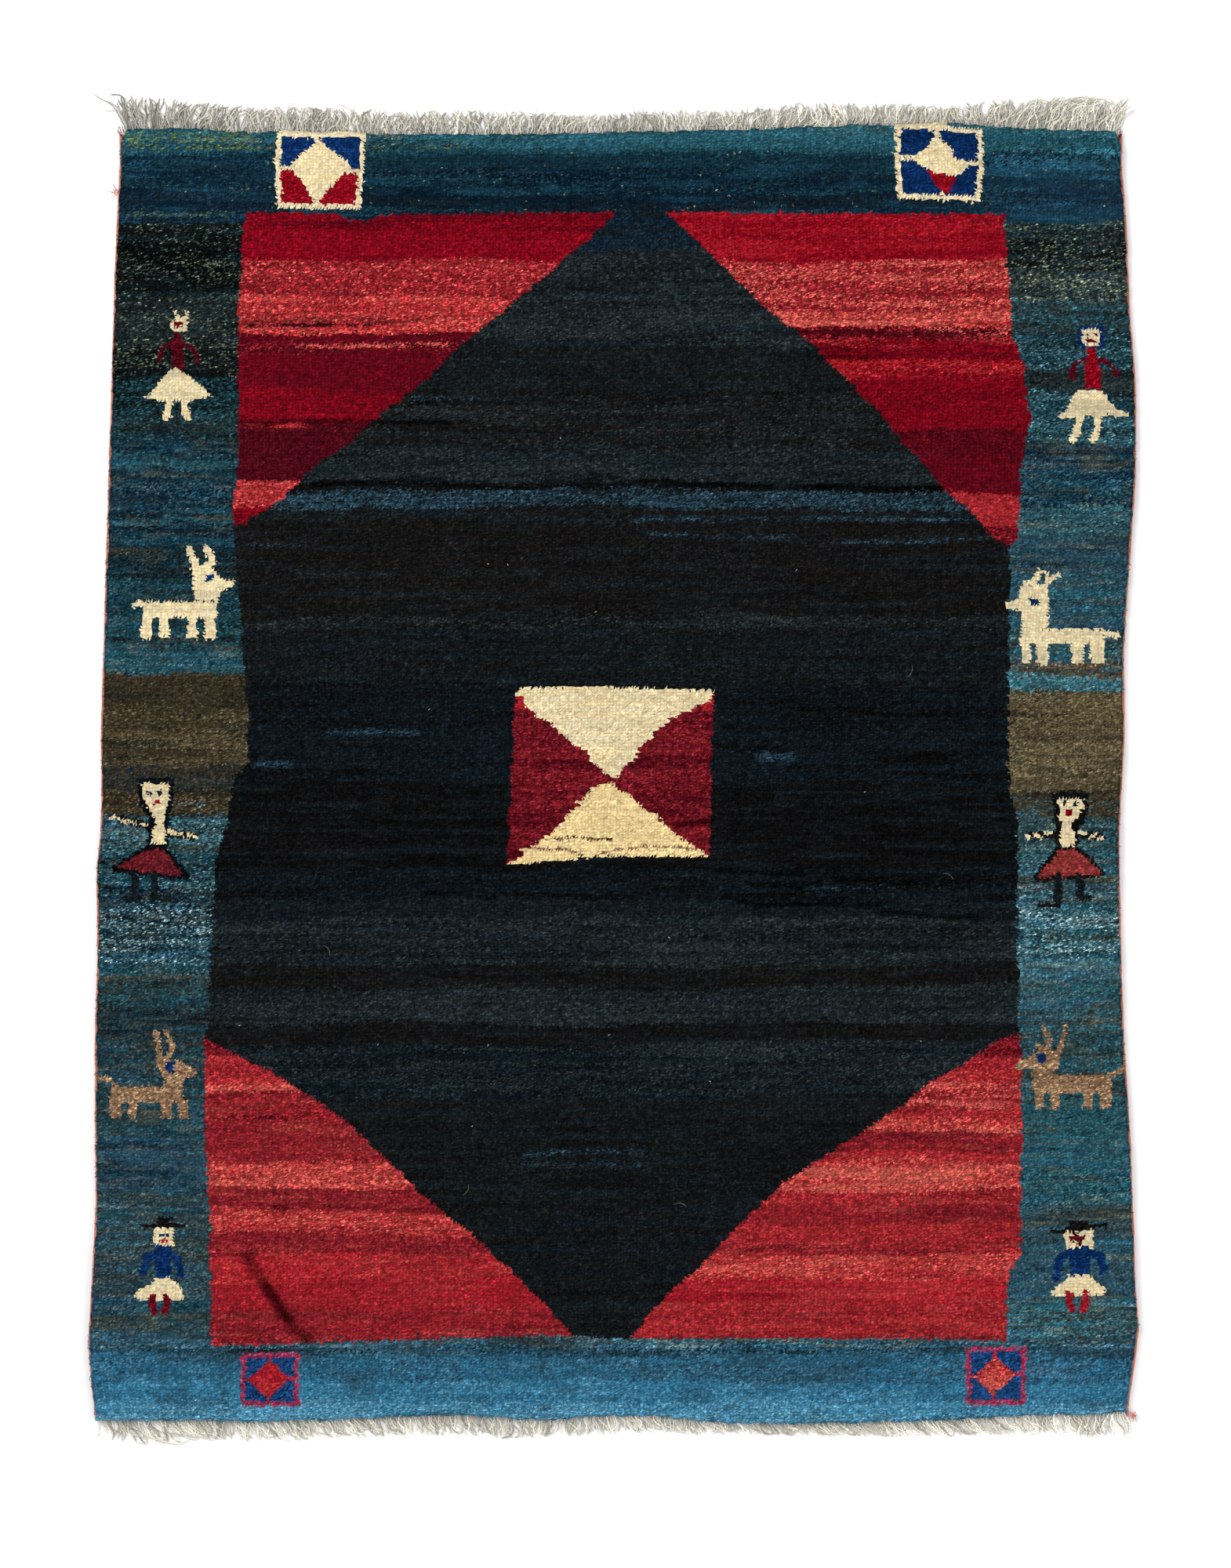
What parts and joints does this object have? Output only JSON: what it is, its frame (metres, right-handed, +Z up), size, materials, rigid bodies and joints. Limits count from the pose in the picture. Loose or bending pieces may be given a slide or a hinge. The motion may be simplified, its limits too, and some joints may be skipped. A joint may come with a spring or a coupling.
{
  "type": "gabbeh rug",
  "caption": "Hand-knotted wool gabbeh rug lying flat: thick short pile, uneven woven outline, overcast side cords and a wool fringe at both ends.",
  "frame": {"origin": "on the floor under the rug, at the middle of its whole footprint with both fringes", "axes": "+Z up through the pile, +Y along the warps towards the end with the long fringe, +X to the right across the rug"},
  "size_m": [1.2404, 1.5836, 0.0134],
  "materials": {
    "pile_wool": "cut wool pile in black, navy, teal, red, olive and cream",
    "side_cord_wool": "salmon wool wrapped round the outer warps",
    "warp_wool": "undyed two-ply wool warp ends"
  },
  "bodies": {
    "root": {"knotted_rug": "pile_wool", "side_cord_left": "side_cord_wool", "side_cord_right": "side_cord_wool", "fringe_head": "warp_wool", "fringe_foot": "warp_wool"}
  },
  "joints": []
}
